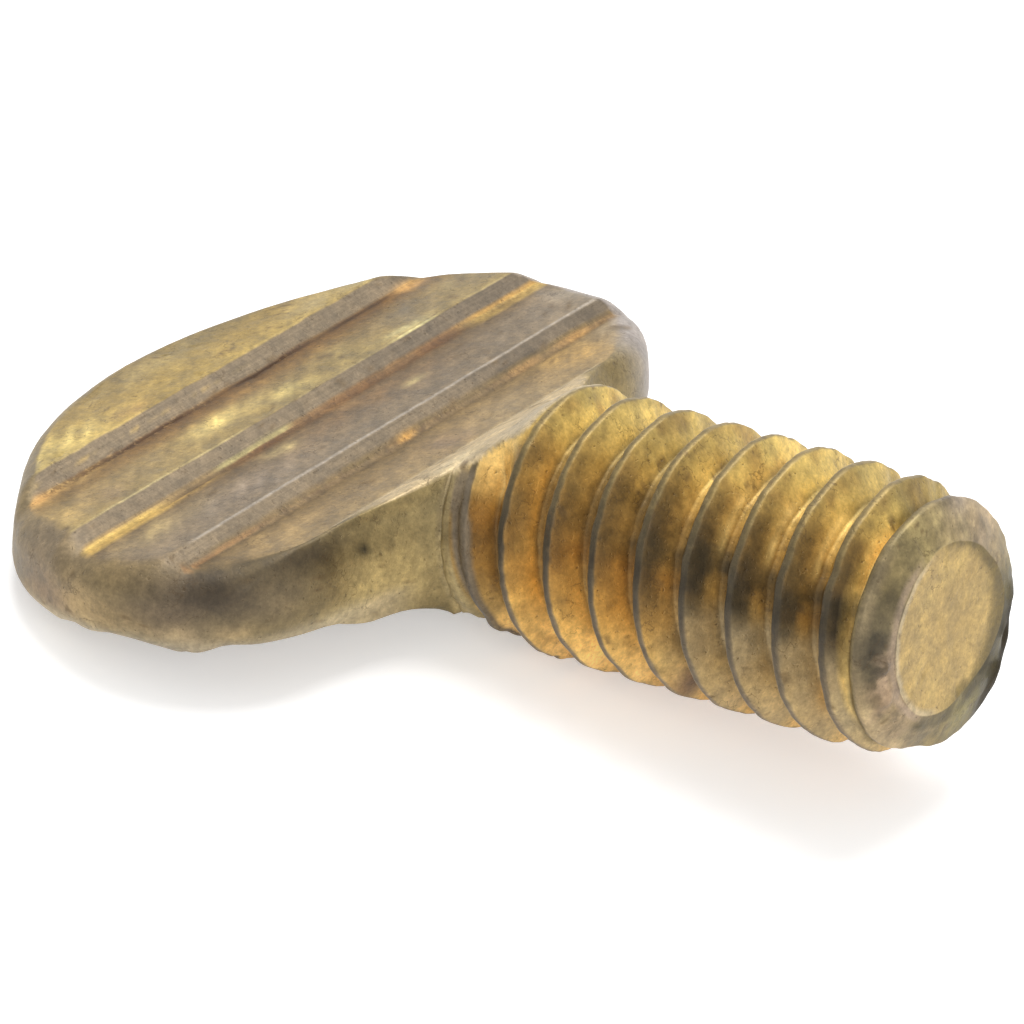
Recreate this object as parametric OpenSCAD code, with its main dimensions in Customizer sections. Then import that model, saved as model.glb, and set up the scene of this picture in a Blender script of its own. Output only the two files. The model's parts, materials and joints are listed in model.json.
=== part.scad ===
// Spade-head thumb screw: a flat, serrated finger head and a right-hand threaded shank, in one piece.
// The pieces are drawn along X with the shoulder at X = 0, and the screw is then laid as it comes to rest.

/* [Thread] */
// Diameter over the thread crests
thread_d = 6.3; // [6.2:0.05:6.5]
// Distance from one crest to the next
pitch = 1.27; // [1.2:0.01:1.35]
// Depth of the groove below the crests
thread_depth = 0.74; // [0.6:0.02:0.8]
// Width of the worn flat on each crest
crest_flat = 0.18; // [0.1:0.01:0.25]
// Width of the flat at the bottom of the groove
root_flat = 0.2; // [0.1:0.01:0.3]
// Distance from the shoulder to the first crest, on the +Y side
first_crest = 1.36; // [1.2:0.02:1.5]

/* [Shank] */
// Length from the shoulder to the tip face
shank_len = 13.33; // [11:0.1:16]
// Diameter of the plain lands at both ends of the thread
land_d = 5.84; // [5.8:0.02:5.9]
// Distance from the shoulder to the plain land beside the head
neck_len = 1.27; // [1.1:0.05:1.5]
// How far the plain land stands out past the end of the neck, all around
neck_step = 0.15; // [0.05:0.05:0.3]
// Length of the plain land beside the head
neck_land_len = 0.35; // [0.3:0.05:0.5]
// Length of the plain rim at the tip
tip_rim_len = 0.18; // [0.15:0.01:0.3]
// Length of the chamfer at the tip
tip_chamfer_len = 0.4; // [0.3:0.05:0.6]
// Diameter of the flat tip face
tip_face_d = 3.9; // [3.5:0.1:4.5]

/* [Head] */
// Width of the head across the screw
head_w = 18.2; // [17:0.1:20]
// Height of the head, from its far edge to the shoulder
head_h = 10.35; // [9.8:0.05:12]
// Radius of each face's two corners beside the shank
corner_r = 3.6; // [3.3:0.1:3.9]
// Thickness of the head at the shoulder
shoulder_t = 2.36; // [2.2:0.02:2.6]
// Thickness of the head over its outermost serration
outer_t = 2; // [1.8:0.02:2.2]
// Thickness of the head at its far edge
far_t = 1.46; // [1.3:0.02:1.6]
// How far the middle of the side wall stands out past the face's edge at the shoulder
side_bulge = 0.35; // [0.2:0.05:0.5]
// Width of the head where the neck leaves it
neck_w = 9.2; // [9:0.1:9.4]
// Slope, in degrees, of the flat ramp from each face's edge to the thread's crests
ramp_angle = 33; // [32:1:35]

/* [Serrations] */
// Number of serrations on each face
serration_count = 3; // [2:1:3]
// Distance from one serration to the next
serration_pitch = 2.8; // [2.6:0.05:2.9]
// Distance from the shoulder to the nearest serration's crest
serration_start = 2.4; // [2.2:0.05:2.6]
// Width of the steep side of a serration
serration_drop_w = 0.58; // [0.4:0.02:0.7]
// Depth of a serration
serration_depth = 0.28; // [0.2:0.02:0.35]

/* [Hidden] */

crest_r = thread_d / 2;
root_r = crest_r - thread_depth;
land_r = land_d / 2;
flank_w = (pitch - crest_flat - root_flat) / 2;
// Points of one thread profile, each as distance along the screw from the crest's middle and radius
thread_profile = [
    [-crest_flat / 2, crest_r],
    [crest_flat / 2, crest_r],
    [crest_flat / 2 + flank_w, root_r],
    [crest_flat / 2 + flank_w + root_flat, root_r]
];
profile_n = len(thread_profile);
turn_segments = 48;
// The thread is swept past both lands and then cut off inside them
land_overlap = 0.05;
// How far a cutting shape reaches past what it cuts
clear = 1;
thread_from = neck_len + neck_land_len - land_overlap;
thread_to = shank_len - tip_chamfer_len - tip_rim_len + land_overlap;
sweep_turns = ceil((shank_len - first_crest) / pitch) + 3;
runout_len = 1.2;
// The plain core stays this far inside the bottom of the groove
core_inset = 0.2;
core_r = root_r - core_inset;

corner_steps = 14;
far_steps = 32;
outermost_crest = serration_start + (serration_count - 1) * serration_pitch;
taper = (shoulder_t - outer_t) / 2 / outermost_crest;

// Distances from the middle plane, as shares of half the thickness at the shoulder, of the side wall's outlines
wall_levels = [-1.1, -0.9, -0.7, -0.45, -0.15, 0.15, 0.45, 0.7, 0.9, 1.1];
// The neck is drawn from a slab that ends this far inside the head, on every side
slab_inset = 0.05;
slab_len = 0.4;
neck_end_len = 0.02;

// The two places that touch the ground: the far edge's corner and the first whole crest below the shank
far_corner_x = head_h - side_bulge * pow(far_t / shoulder_t, 3);
ramp_len = (crest_r - shoulder_t / 2) / tan(ramp_angle);
below = 270 / 360;
whole_crest = ceil((ramp_len - first_crest) / pitch - below);
ground_x = first_crest + (whole_crest + below) * pitch - crest_flat / 2;
rest_pitch = atan2(crest_r - far_t / 2, ground_x + far_corner_x);
rest_lift = crest_r * cos(rest_pitch) - ground_x * sin(rest_pitch);
rest_low_x = -far_corner_x * cos(rest_pitch) - far_t / 2 * sin(rest_pitch);
rest_high_x = shank_len * cos(rest_pitch) + tip_face_d / 2 * sin(rest_pitch);

// A value that goes smoothly from 0 at t = 0 to 1 at t = 1
function ease(t) = let (c = max(0, min(1, t))) c * c * (3 - 2 * c);

// Radius of the thread's surface at x: the groove fills up towards the land beside the head
function thread_r(x, r) = let (s = ease((x - thread_from) / runout_len)) land_r * (1 - s) + r * s;

// Point i of the thread's surface on the plane at step j of a turn
function thread_point(i, j) =
    let (
        part = thread_profile[i % profile_n],
        turns = floor(i / profile_n) + j / turn_segments - 2,
        angle = 360 * j / turn_segments,
        x = first_crest + turns * pitch + part[0],
        r = thread_r(x, part[1])
    )
    [x, r * cos(angle), r * sin(angle)];

// Right-hand thread as one closed solid, longer than the shank at both ends
module thread_sweep() {
    column_n = sweep_turns * profile_n;
    columns = [
        for (j = [0 : turn_segments - 1]) for (i = [0 : column_n - 1]) thread_point(i, j)
    ];
    // The last point of one turn joins the same profile point of the next turn
    function index(i, j) = (j % turn_segments) * column_n + i + (j == turn_segments ? profile_n : 0);
    walls = [
        for (j = [0 : turn_segments - 1])
            for (i = [0 : column_n - 2 - (j == turn_segments - 1 ? profile_n : 0)])
                each [
                    [index(i, j), index(i + 1, j), index(i + 1, j + 1)],
                    [index(i, j), index(i + 1, j + 1), index(i, j + 1)]
                ]
    ];
    near = len(columns);
    far = near + 1;
    last = column_n - 1;
    near_cap = concat(
        [for (j = [0 : turn_segments - 1]) [near, index(0, j), index(0, j + 1)]],
        [for (i = [0 : profile_n - 1]) [near, index(i + 1, 0), index(i, 0)]]
    );
    far_cap = concat(
        [for (j = [0 : turn_segments - 2]) [far, index(last, j + 1), index(last, j)]],
        [[far, index(last, 0), index(last - profile_n, turn_segments - 1)]],
        [
            for (i = [last - profile_n : last - 1])
                [far, index(i, turn_segments - 1), index(i + 1, turn_segments - 1)]
        ]
    );
    ends = [
        [first_crest - 2 * pitch, 0, 0],
        [first_crest + (sweep_turns - 2) * pitch, 0, 0]
    ];
    polyhedron(concat(columns, ends), concat(walls, near_cap, far_cap));
}

// Cylinder along X between two distances from the shoulder
module rod(from, to, r1, r2) {
    translate([from, 0, 0]) rotate([0, 90, 0]) cylinder(h = to - from, r1 = r1, r2 = r2, $fn = 96);
}

// Threaded length, cut off square inside the two lands
module thread() {
    intersection() {
        thread_sweep();
        rod(thread_from, thread_to, crest_r + clear, crest_r + clear);
    }
}

// Plain core, the land beside the head, and the rim, chamfer and flat face at the tip
module shank_core() {
    chamfer_from = shank_len - tip_chamfer_len;
    rod(0, thread_to, core_r, core_r);
    rod(neck_len, neck_len + neck_land_len, land_r, land_r);
    rod(chamfer_from - tip_rim_len, chamfer_from, land_r, land_r);
    rod(chamfer_from, shank_len, land_r, tip_face_d / 2);
}

// Outline of the head at an inset from its widest level, with a straight edge beside the shank
function head_outline(inset) =
    let (
        round_r = corner_r + side_bulge - inset,
        corner_y = head_w / 2 - side_bulge - corner_r,
        far_x = head_h - corner_r - inset,
        far_y = head_w / 2 - inset
    )
    concat(
        [for (k = [0 : corner_steps]) let (a = 90 * k / corner_steps)
            [-corner_r + round_r * cos(a), -corner_y - round_r * sin(a)]],
        [for (k = [0.5 : far_steps]) let (a = 180 * k / far_steps)
            [-corner_r - far_x * sin(a), -far_y * cos(a)]],
        [for (k = [0 : corner_steps]) let (a = 90 * k / corner_steps)
            [-corner_r + round_r * sin(a), corner_y + round_r * cos(a)]]
    );

// Head blank with bulging side walls, as outlines stacked through its thickness
module head_blank() {
    rings = [
        for (v = wall_levels)
            [for (p = head_outline(side_bulge * pow(abs(v), 3))) [p[0], p[1], v * shoulder_t / 2]]
    ];
    n = len(rings[0]);
    walls = [
        for (v = [0 : len(wall_levels) - 2])
            for (k = [0 : n - 1])
                each [
                    [v * n + k, (v + 1) * n + (k + 1) % n, (v + 1) * n + k],
                    [v * n + k, v * n + (k + 1) % n, (v + 1) * n + (k + 1) % n]
                ]
    ];
    bottom_face = [for (k = [n - 1 : -1 : 0]) k];
    top_face = [for (k = [0 : n - 1]) (len(wall_levels) - 1) * n + k];
    polyhedron([for (r = rings) each r], concat(walls, [bottom_face], [top_face]));
}

// Half the head's thickness on its serration crests, at a distance from the shoulder
function crest_height(from_shoulder) = shoulder_t / 2 - taper * from_shoulder;

// Side profile of one face, from the shoulder to past the far edge
face_profile = concat(
    [[clear, crest_height(0)], [0, crest_height(0)]],
    [
        for (k = [0 : serration_count - 1])
            let (from_shoulder = serration_start + k * serration_pitch)
            each [
                [-from_shoulder + serration_drop_w, crest_height(from_shoulder) - serration_depth],
                [-from_shoulder, crest_height(from_shoulder)]
            ]
    ],
    [[-head_h, far_t / 2], [-head_h - clear, far_t / 2]]
);

// The same points below the middle plane, in the order that closes the outline
function mirrored(profile) = [for (k = [len(profile) - 1 : -1 : 0]) [profile[k][0], -profile[k][1]]];

// Both faces' profile, drawn out across the head
module profile_slab(profile, width) {
    rotate([90, 0, 0]) linear_extrude(width, center = true) polygon(concat(profile, mirrored(profile)));
}

// Flat head with the same serrations on both faces
module head() {
    intersection() {
        head_blank();
        profile_slab(face_profile, head_w + 2 * clear);
    }
}

// Neck that runs from the head's straight edge to the round land
module neck() {
    end_r = land_r - neck_step;
    hull() {
        translate([-slab_len / 2 - slab_inset, 0, 0])
            cube([slab_len, neck_w, shoulder_t - 2 * slab_inset], center = true);
        rod(neck_len, neck_len + neck_end_len, end_r, end_r);
    }
}

// Neck and shank, cut to a flat ramp above and below that runs out at the thread's crests
module shank() {
    ramp_end = ramp_len + clear;
    ramp_profile = [
        [shank_len + clear, shoulder_t / 2 + ramp_end * tan(ramp_angle)],
        [ramp_end, shoulder_t / 2 + ramp_end * tan(ramp_angle)],
        [0, shoulder_t / 2],
        [-clear, shoulder_t / 2]
    ];
    intersection() {
        union() {
            neck();
            shank_core();
            thread();
        }
        profile_slab(ramp_profile, head_w);
    }
}

// The screw rests on the head's far edge and on a thread crest, with its tip raised
module thumb_screw() {
    color([0.72, 0.58, 0.34])
        translate([-(rest_low_x + rest_high_x) / 2, 0, rest_lift])
            rotate([0, -rest_pitch, 0]) {
                head();
                shank();
            }
}

thumb_screw();
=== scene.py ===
import json
import math

import bpy
import numpy as np
from mathutils import Matrix, Vector

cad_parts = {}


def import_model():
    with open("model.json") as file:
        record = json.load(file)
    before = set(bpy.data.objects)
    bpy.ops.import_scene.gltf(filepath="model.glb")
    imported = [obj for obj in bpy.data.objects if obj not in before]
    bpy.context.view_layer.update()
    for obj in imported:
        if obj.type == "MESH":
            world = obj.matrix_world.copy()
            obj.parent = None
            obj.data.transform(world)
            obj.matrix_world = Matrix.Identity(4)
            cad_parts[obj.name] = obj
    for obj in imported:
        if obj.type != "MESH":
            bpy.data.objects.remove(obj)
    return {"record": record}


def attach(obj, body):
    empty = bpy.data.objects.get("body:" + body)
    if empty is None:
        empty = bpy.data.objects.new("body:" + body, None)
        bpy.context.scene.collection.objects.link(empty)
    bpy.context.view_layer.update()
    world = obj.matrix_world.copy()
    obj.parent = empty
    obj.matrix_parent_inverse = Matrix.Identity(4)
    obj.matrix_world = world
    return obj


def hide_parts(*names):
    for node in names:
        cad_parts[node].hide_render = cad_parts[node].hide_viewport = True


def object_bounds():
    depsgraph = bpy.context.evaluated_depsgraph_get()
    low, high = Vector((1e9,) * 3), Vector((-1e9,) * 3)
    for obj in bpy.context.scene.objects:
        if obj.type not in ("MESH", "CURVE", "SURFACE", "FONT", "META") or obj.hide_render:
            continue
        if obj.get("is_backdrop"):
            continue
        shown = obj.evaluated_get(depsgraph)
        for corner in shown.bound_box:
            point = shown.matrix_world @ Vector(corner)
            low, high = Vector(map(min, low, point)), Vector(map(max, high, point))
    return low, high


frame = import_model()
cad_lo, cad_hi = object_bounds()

# The screw is built in its own frame, in millimetres: X along the shank with 0 at the shoulder,
# Y across the head, Z out of the upper face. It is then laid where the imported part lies, from the
# record's mounts.
MM = 0.001

# Head
HEAD_W = 18.2
HEAD_H = 10.35
CORNER_R = 3.6
HALF_T = 1.18
SIDE_BULGE = 0.35
CREST_X = (-8.0, -5.2, -2.4)
VALLEY_X = (-7.42, -4.62, -1.82)
CREST_Z = (1.0, 1.063, 1.126)
SERRATION_DEPTH = 0.28
FAR_HALF_T = 0.73
FAR_SHARE = 0.62  # of the outline's run, round its far edge
EDGE_R = 0.30
NECK_EDGE_R = 0.07
LEAN = 0.18  # of the near end's wall

# The two faces, by the seed of their unevenness, and how much their edges are worn round
UPPER, LOWER = 0, 40
WORN_R = {UPPER: 0.36, LOWER: 0.12}

# Neck, thread and tip
NECK_LEN = 1.27
NECK_R = 2.82
LAND_R = 2.92
PITCH = 1.27
CREST_R = 3.15
THREAD_DEPTH = 0.74
CREST_HALF = 0.09
ROOT_HALF = 0.10
FIRST_CREST = 1.36
RAMP_SLOPE = 0.70
RAMP_FALL = 0.045
THREAD_END = 12.78
RIM_END = 12.95
RIM_R = 2.94
SHANK_LEN = 13.33
DISC_R = 2.02
DISC_HOLLOW = 0.02
CHAMFER_BELLY = 0.05

# Vertices around one loop: half a side wall, a rounded corner and a face
WALL_N = 12
CORNER_N = 8
FACE_N = 80
LOOP_N = 4 * (WALL_N + CORNER_N) + 2 * FACE_N
CORNER_ANGLE = math.radians(38)

# Where loops lie along the head: by angle at both ends of the outline, in degrees, and in mm from
# each crest and valley of the serrations
FAR_STEPS = (5, 10, 15, 20, 25, 30, 35, 40, 46)
NEAR_STEPS = (52, 57, 62, 66, 70, 74, 78, 82, 85, 87.5)
FINE_STEPS = (-0.2, -0.12, -0.07, -0.03, 0.0, 0.03, 0.07, 0.12, 0.2)
MOST_GAP = 0.17
LEAST_GAP = 0.008

# And along the neck and down the chamfer, in shares of their length, and of the disc's radius
NECK_STEPS = (0.03, 0.08, 0.14, 0.21, 0.28, 0.36, 0.44, 0.52, 0.60, 0.68, 0.76, 0.84, 0.91, 0.965)
CHAMFER_STEPS = (0.08, 0.18, 0.28, 0.38, 0.48, 0.58, 0.68, 0.78, 0.87, 0.94, 0.985)
DISC_STEPS = (0.99, 0.96, 0.9, 0.8, 0.7, 0.6, 0.5, 0.4, 0.3, 0.2, 0.1)

# Rows across one turn of the thread, in mm from the crest's middle
THREAD_ROWS = (
    -0.14, -0.105, -0.085, -0.05, 0.0, 0.05, 0.085, 0.105, 0.14, 0.21, 0.29, 0.37, 0.45, 0.51,
    0.55, 0.60, 0.67, 0.72, 0.76, 0.82, 0.90, 0.98, 1.06,
)
ROW_GAP = 0.012  # a row nearer than this to the thread's end falls onto the loop there
SAME_POINT = 2e-4

# Parts of the surface that are painted in their own way
HEAD, NECK, THREAD, RIM, DISC = range(5)


def ease(t):
    """A smooth step, from 0 at 0 to 1 at 1."""
    c = np.clip(t, 0, 1)
    return c * c * (3 - 2 * c)


def past(v, start, soft):
    """0 before a value, rising to 1 over a soft stretch after it."""
    return ease((v - start) / soft)


def before(v, end, soft):
    """0 after a value, rising to 1 over a soft stretch before it."""
    return ease((end - v) / soft)


def band(v, lo, hi, soft):
    """1 between two values and 0 outside them, with soft steps."""
    return ease((v - lo) / soft + 0.5) * ease((hi - v) / soft + 0.5)


def hump(angle, degrees, reach):
    """A soft bump around the shank, from its middle in degrees and its reach in radians."""
    off = (angle - math.radians(degrees) + math.pi) % (2 * math.pi) - math.pi
    return np.exp(-(off / reach) ** 2)


def around(y, z):
    """Degrees around the shank, from +Y towards +Z."""
    return np.degrees(np.arctan2(z, y)) % 360


def blurred(curve, reach):
    """Mean of a curve over five places within a reach, which rounds its corners."""
    return sum(curve(off) / 5 for off in (-reach, -reach / 2, 0.0, reach / 2, reach))


def lattice(i, j, k, seed):
    """A repeatable number from 0 to 1 for each lattice point."""
    h = i * 374761393 + j * 668265263 + k * 1274126177 + seed * 974634777
    h = (h ^ (h >> 13)) & 0x7FFFFFFF
    h = (h * 1103515245 + 12345) & 0x7FFFFFFF
    h = (h ^ (h >> 15)) & 0x7FFFFFFF
    h = (h * 1103515245 + 12345) & 0x7FFFFFFF
    return ((h >> 8) & 0xFFFF) / 65535.0


def noise(p, size, seed=0):
    """Smooth noise from -1 to 1; size is the width of one blotch, in mm, or one per axis."""
    q = np.asarray(p, float) / np.asarray(size, float) + 1000.0
    base = np.floor(q).astype(np.int64)
    f = q - base
    f = f * f * (3 - 2 * f)
    out = 0
    for a in (0, 1):
        for b in (0, 1):
            for c in (0, 1):
                w = (f[..., 0] if a else 1 - f[..., 0])
                w = w * (f[..., 1] if b else 1 - f[..., 1])
                w = w * (f[..., 2] if c else 1 - f[..., 2])
                out = out + w * lattice(base[..., 0] + a, base[..., 1] + b, base[..., 2] + c, seed)
    return out * 2 - 1


def fractal(p, size, seed=0, octaves=3):
    """Noise with finer and weaker noise added to it."""
    size = np.asarray(size, float)
    total, out, weight = 0.0, 0.0, 1.0
    for k in range(octaves):
        out = out + weight * noise(p, size / 2**k, seed + 17 * k)
        total += weight
        weight *= 0.55
    return out / total


# ======== head

# The outline is a little uneven: side, place along X, width and how far it stands out there
SWELLS = (
    (-1, -8.2, 1.6, 0.04), (-1, -6.8, 1.3, 0.16), (-1, -4.4, 2.0, 0.10),
    (1, -7.3, 1.2, 0.30), (1, -4.7, 0.5, 0.06), (1, -3.2, 1.2, -0.16), (1, -1.9, 0.6, 0.10),
    (1, -0.9, 0.9, -0.02),
)
FAR_SWELL = 0.31

# A face's height along X, on the crests and in the valleys
PROFILE_X = [-12.0, -HEAD_H]
PROFILE_Z = [FAR_HALF_T - 0.1, FAR_HALF_T]
for crest_x, crest_z, valley_x in zip(CREST_X, CREST_Z, VALLEY_X):
    PROFILE_X += [crest_x, valley_x]
    PROFILE_Z += [crest_z, crest_z - SERRATION_DEPTH]
PROFILE_X += [0.0, 2.0]
PROFILE_Z += [HALF_T, HALF_T]


def wall_inset(z):
    """How far the bulged side wall falls back at a height."""
    return SIDE_BULGE * np.minimum(np.abs(z) / HALF_T, 1.0) ** 3


def outline(u, inset, side):
    """Point of the head's outline, as X and distance from the middle. u goes from the far edge to
    the shoulder."""
    far_h = HEAD_H - CORNER_R
    on_far = u < FAR_SHARE
    a = (1 - np.minimum(u / FAR_SHARE, 1)) * math.pi / 2
    b = np.clip((u - FAR_SHARE) / (1 - FAR_SHARE), 0, 1) * math.pi / 2
    plain_x = -CORNER_R + np.where(on_far, -far_h * np.sin(a), CORNER_R * np.sin(b))
    for swell_side, x0, width, amount in SWELLS:
        if swell_side == side:
            swell = amount * np.exp(-((plain_x - x0) / width) ** 2)
            inset = inset - swell * ease(u / 0.25) * ease((1 - u) / 0.12)
    inset = inset - FAR_SWELL * (1 - ease(u / 0.32))
    far_x = -CORNER_R - (far_h - inset) * np.sin(a)
    far_y = (HEAD_W / 2 - inset) * np.cos(a)
    round_r = CORNER_R + SIDE_BULGE - inset
    near_x = -CORNER_R + round_r * np.sin(b)
    near_y = HEAD_W / 2 - SIDE_BULGE - CORNER_R + round_r * np.cos(b)
    return np.where(on_far, far_x, near_x), np.where(on_far, far_y, near_y)


def edge_round(u, side, seed):
    """Radius of the edge between a face and the side wall. It is worn round, more so on the near
    side, and sharp beside the neck."""
    near = past(u, 0.80 if side < 0 else 0.86, 0.14)
    worn = past(u, 0.30, 0.22) if side < 0 else past(u, 0.55, 0.2)
    return (EDGE_R + WORN_R[seed] * worn) * (1 - near) + NECK_EDGE_R * near


def lean(u, z, side):
    """The near end of the head leans out a little below and in above."""
    return LEAN * z / HALF_T * past(u, 0.15, 0.2) * before(u, 0.60, 0.15) * (side < 0)


def face_height(x, y, seed):
    """Height of one face of the head over its middle plane."""
    p = np.stack([x, y, np.full_like(x, float(seed))], -1)
    wander = 0.022 * noise(p, (40.0, 4.5, 1.0), 3 + seed)
    wander = wander + 0.007 * noise(p, (40.0, 0.8, 1.0), 5 + seed)
    at = x + wander * (x < -1.2)
    h = blurred(lambda off: np.interp(at + off, PROFILE_X, PROFILE_Z), 0.07)
    return h + 0.012 * fractal(p, (1.6, 2.8, 1.0), 11 + seed, 3) * ease(-x / 1.5)


def half_loop(u, x_in, side, seed):
    """Points from the middle of a side wall over the rounded corner to the face's inner edge, for
    every station."""
    rho = edge_round(u, side, seed)
    sign = 1 if seed == UPPER else -1
    x0, y0 = outline(u, wall_inset(np.full_like(u, 1.0)), side)
    h = face_height(x0, side * y0, seed)
    rows = []
    for k in range(WALL_N + 1):
        z = (h - rho) * k / WALL_N
        x, y = outline(u, wall_inset(z) + lean(u, sign * z, side), side)
        rows.append((x, side * y, z))
    for k in range(1, CORNER_N + 1):
        t = k / CORNER_N * math.pi / 2
        drop = rho * (1 - math.sin(t))
        inset = wall_inset(h - drop) + lean(u, sign * (h - drop), side) + rho * (1 - math.cos(t))
        x, y = outline(u, inset, side)
        share = math.sin(t) ** 2
        z = h * (1 - share) + face_height(x, side * y, seed) * share - drop
        rows.append((x_in if k == CORNER_N else x, side * y, z))
    return np.array(rows).transpose(2, 0, 1)


def station_list():
    """Places of the loops along a face, from the far edge to the shoulder, and where they lie on
    the outline of each side."""
    u = np.linspace(0, 1, 4001)
    x_in = {}
    for side in (1, -1):
        x0, _ = outline(u, wall_inset(np.full_like(u, 1.0)), side)
        h = np.interp(x0, [-HEAD_H, CREST_X[0], 0], [FAR_HALF_T, CREST_Z[0], HALF_T])
        inset = wall_inset(h) + lean(u, h, side) + edge_round(u, side, UPPER)
        x_in[side] = np.maximum.accumulate(outline(u, inset, side)[0])
    lo = max(x_in[1][0], x_in[-1][0])
    hi = min(x_in[1][-1], x_in[-1][-1])
    xs = [lo, hi]
    xs += [-CORNER_R - (-CORNER_R - lo) * math.cos(math.radians(a)) for a in FAR_STEPS]
    xs += [-CORNER_R + (hi + CORNER_R) * math.sin(math.radians(b)) for b in NEAR_STEPS]
    for cx, vx in zip(CREST_X, VALLEY_X):
        xs += [cx + d for d in (-0.35, *FINE_STEPS)]
        xs += [vx + d for d in (-0.29, *FINE_STEPS, 0.35)]
    xs = sorted(x for x in xs if lo <= x <= hi)
    full = [xs[0]]
    for x in xs[1:]:
        start = full[-1]
        n = max(1, math.ceil((x - start) / MOST_GAP))
        step = (x - start) / n
        if step >= LEAST_GAP:
            full += [start + step * (m + 1) for m in range(n)]
    full[-1] = hi
    full = np.array(full)
    on_outline = {side: np.interp(full, x_in[side], u) for side in (1, -1)}
    for places in on_outline.values():
        places[0], places[-1] = 0.0, 1.0
    return full, on_outline


def head_loops():
    """The head's loops, from the far edge to the shoulder. Each starts in the middle of the far
    side's wall and goes over the upper face first."""
    x_in, u = station_list()
    right_up, left_up = (half_loop(u[side], x_in, side, UPPER) for side in (1, -1))
    right_down, left_down = (half_loop(u[side], x_in, side, LOWER) for side in (1, -1))
    f = np.arange(1, FACE_N) / FACE_N

    def face(a, b, seed):
        y = a[:, -1:, 1] * (1 - f) + b[:, -1:, 1] * f
        x = np.repeat(x_in[:, None], FACE_N - 1, 1)
        z = face_height(x, y, seed)
        # The face meets the rounded corners at their own height
        lift_a = (a[:, -1:, 2] - z[:, :1]) * ease(1 - f * 12)
        lift_b = (b[:, -1:, 2] - z[:, -1:]) * ease(1 - (1 - f) * 12)
        return np.stack([x, y, z + lift_a + lift_b], -1)

    upper = [right_up, face(right_up, left_up, UPPER), left_up[:, ::-1]]
    lower = [left_down[:, 1:], face(left_down, right_down, LOWER), right_down[:, ::-1]]
    loops = np.concatenate([*upper, np.concatenate(lower, 1) * (1, 1, -1)], 1)
    return loops[:, :-1]  # the last point is the first one again


# ======== neck, thread and tip

def loop_angles():
    """Angle of every loop vertex around the shank, from +Y towards +Z."""
    side_n = WALL_N + CORNER_N
    up = np.concatenate([
        np.linspace(0, CORNER_ANGLE, side_n + 1),
        np.linspace(CORNER_ANGLE, math.pi - CORNER_ANGLE, FACE_N + 1)[1:],
        np.linspace(math.pi - CORNER_ANGLE, math.pi, side_n + 1)[1:],
    ])
    return np.concatenate([up, up[1:-1] + math.pi])


def ramp_r(x, angle):
    """Distance from the axis to the flat cut that runs up from the face's edge to the crests."""
    s = np.maximum(np.abs(np.sin(angle)), 1e-3)
    c = np.cos(angle)
    r = np.full(np.broadcast(x, angle).shape, 2.5)
    # The cut sinks towards both sides, so its distance is found step by step
    for _ in range(12):
        y2 = np.minimum((r * c) ** 2, 9.0)
        r = 0.5 * r + 0.5 * np.minimum((HALF_T + x * (RAMP_SLOPE - RAMP_FALL * y2)) / s, 9.0)
    return r


def soft_min(a, b, k):
    """The lesser of two values, softened where they differ by less than k."""
    h = np.clip(0.5 + 0.5 * (b - a) / k, 0, 1)
    return b * (1 - h) + a * h - k * h * (1 - h)


def circle(r, angle):
    """Points of a circle, as places to take noise at."""
    return np.stack([r * np.cos(angle), r * np.sin(angle), np.zeros_like(angle)], -1)


def thread_depth(rel):
    """Depth under the crest at a distance from the crest's middle."""
    flank = PITCH / 2 - CREST_HALF - ROOT_HALF

    def sharp(off):
        away = np.abs((rel + off + PITCH / 2) % PITCH - PITCH / 2)
        return np.clip((away - CREST_HALF) / flank, 0, 1)

    return blurred(sharp, 0.028) * THREAD_DEPTH


def rim_r(angle):
    """The rim at the tip is battered: it stands out to the lower right and is worn down on top."""
    low_right = hump(angle, -50, 0.62)
    right = hump(angle, -2, 0.6)
    p = circle(3, angle)
    lumps = 0.035 * noise(p, 0.8, 61) + 0.022 * noise(p, 0.35, 62)
    lumps = lumps + 0.05 * (low_right + right) * noise(p, 0.3, 63)
    return RIM_R + 0.41 * low_right + 0.16 * right - 0.06 * hump(angle, 95, 0.7) + lumps


def shank_r(x, angle):
    """Radius of the shank's surface, from the land beside the head to the rim at the tip."""
    turn = angle / (2 * math.pi)
    # The first crest is low, and the last ones are worn on top and below
    crest = CREST_R - 0.22 * (1 - past(x, 1.95, 0.9))
    crest = crest - 0.07 * hump(angle, 90, 0.7) * past(x, 9.8, 2.2)
    crest = crest - 0.08 * hump(angle, 258, 0.6) * past(x, 11.4, 0.9)
    p = np.stack([x, 3 * np.cos(angle), 3 * np.sin(angle)], -1)
    crest = crest + 0.03 * noise(p, (3.0, 0.5, 0.5), 65) + 0.02 * noise(p, (3.0, 0.2, 0.2), 66)
    # The first groove only starts after a third of a turn, beyond the ramp
    opened = past(x, 1.50, 0.42)
    started = past(np.degrees(angle), 116, 26)
    first = x < FIRST_CREST + (turn + 1) * PITCH
    depth = thread_depth(x - FIRST_CREST - turn * PITCH) * opened
    r = crest - depth * np.where(first, started, 1.0)
    r = (LAND_R - 0.02) * (1 - opened) + r * opened
    closed = past(x, 12.45, 0.33)
    r = r * (1 - closed) + rim_r(angle) * closed
    r = r - (LAND_R - NECK_R) * (1 - past(x, NECK_LEN, 0.06))
    r = r - 0.10 * hump(angle, 250, 0.5) * (1 - past(x, 2.2, 0.8))
    return soft_min(r, ramp_r(x, angle), 0.03)


def ring(x, r, angle):
    """Points around the shank at one place along it, or at one for each."""
    x = np.broadcast_to(x, angle.shape)
    return np.stack([x, r * np.cos(angle), r * np.sin(angle)], -1)


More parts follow.
